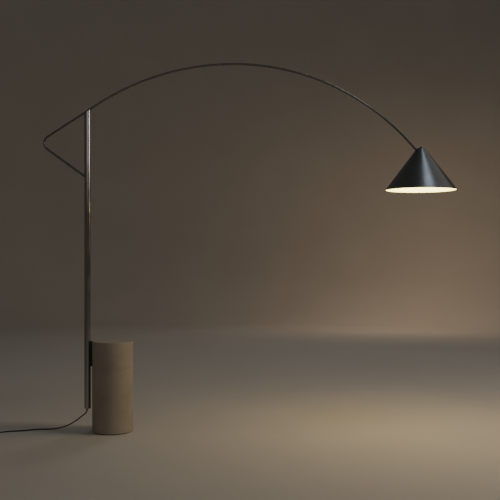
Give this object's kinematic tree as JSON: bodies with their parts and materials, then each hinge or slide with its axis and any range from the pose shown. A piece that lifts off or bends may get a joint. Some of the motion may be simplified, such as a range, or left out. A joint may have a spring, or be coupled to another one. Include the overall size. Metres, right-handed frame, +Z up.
{
  "type": "arc floor lamp",
  "caption": "Arc floor lamp: cylindrical stone counterweight, steel mast, thin bent arm that swivels, tilting conical shade with an opal diffuser, foot switch on its cord.",
  "frame": {"origin": "centre of the counterweight's foot, on the floor", "axes": "+X from the mast towards the shade, +Y to the back, +Z up"},
  "size_m": [2.8625, 0.4, 2.0615],
  "materials": {
    "stone": "matte",
    "polished_steel": "polished",
    "arm_steel": "satin",
    "gunmetal": "satin",
    "black_coat": "satin",
    "zinc_steel": "satin",
    "brass": "satin",
    "aluminium": "satin",
    "black_rubber": "matte",
    "black_plastic": "satin",
    "bearing_plastic": "satin",
    "opal_diffuser": "satin",
    "board": "satin"
  },
  "bodies": {
    "lamp_stand": {"floor_pad": "black_rubber", "base_lower_drum": "stone", "base_upper_drum": "stone", "tie_rod_insert": "brass", "tie_rod": "zinc_steel", "tie_rod_washer": "zinc_steel", "tie_rod_nut": "zinc_steel", "mast_bracket": "black_coat", "bracket_screw_lower": "zinc_steel", "bracket_screw_upper": "zinc_steel", "bracket_insert_lower": "brass", "bracket_insert_upper": "brass", "lower_mast_tube": "polished_steel", "mast_foot_plug": "black_coat", "cord_strain_relief": "black_rubber", "mains_lead": "black_rubber", "led_driver": "black_plastic", "lower_mast_lead": "black_rubber", "swivel_spindle": "zinc_steel", "swivel_stop_pin": "zinc_steel", "swivel_thrust_washer": "bearing_plastic", "swivel_spring_washer": "zinc_steel", "swivel_nut": "zinc_steel", "cord_to_switch": "black_rubber", "foot_switch_base": "black_plastic", "foot_switch_cover": "black_plastic", "cord_to_coil": "black_rubber", "cord_coil": "black_rubber", "coil_tie": "black_plastic", "cord_to_plug": "black_rubber", "plug": "black_plastic"},
    "arm": {"swivel_bush_lower": "bearing_plastic", "swivel_bush_upper": "bearing_plastic", "upper_mast_tube": "polished_steel", "mast_top_cap": "polished_steel", "arm_clamp_screw_rear": "zinc_steel", "arm_clamp_screw_front": "zinc_steel", "brace_stub": "zinc_steel", "brace_grub_screw": "zinc_steel", "arm_rear_tube": "arm_steel", "arm_inner_tube": "arm_steel", "arm_outer_tube": "arm_steel", "arm_rear_spigot": "zinc_steel", "arm_crown_spigot": "zinc_steel", "arm_knuckle": "zinc_steel", "arm_lead": "black_rubber"},
    "shade": {"shade_cone": "gunmetal", "shade_yoke": "zinc_steel", "shade_cap_nut": "gunmetal", "tilt_screw": "zinc_steel", "tilt_nut": "zinc_steel", "tilt_friction_washer_front": "bearing_plastic", "tilt_friction_washer_back": "bearing_plastic", "heat_sink": "aluminium", "led_board": "board", "heat_sink_screw_front": "zinc_steel", "heat_sink_screw_back": "zinc_steel", "diffuser": "opal_diffuser", "diffuser_ring": "gunmetal"},
    "foot_button": {"foot_switch_button": "black_plastic"}
  },
  "joints": [
    {"name": "arm_swivel", "type": "hinge", "parent": "lamp_stand", "child": "arm", "pos_m": [-0.141, 0, 1.3956], "axis": [0, 0, 1], "range_deg": [-150, 150]},
    {"name": "shade_tilt", "type": "hinge", "parent": "arm", "child": "shade", "pos_m": [1.72657, 0, 1.54618], "axis": [0, 1, 0], "range_deg": [-15, 20]},
    {"name": "foot_switch_press", "type": "slide", "parent": "lamp_stand", "child": "foot_button", "axis": [0, 0, -1], "range_m": [0, 0.003], "stiffness_N_per_m": 1500, "springref_m": -0.001}
  ]
}
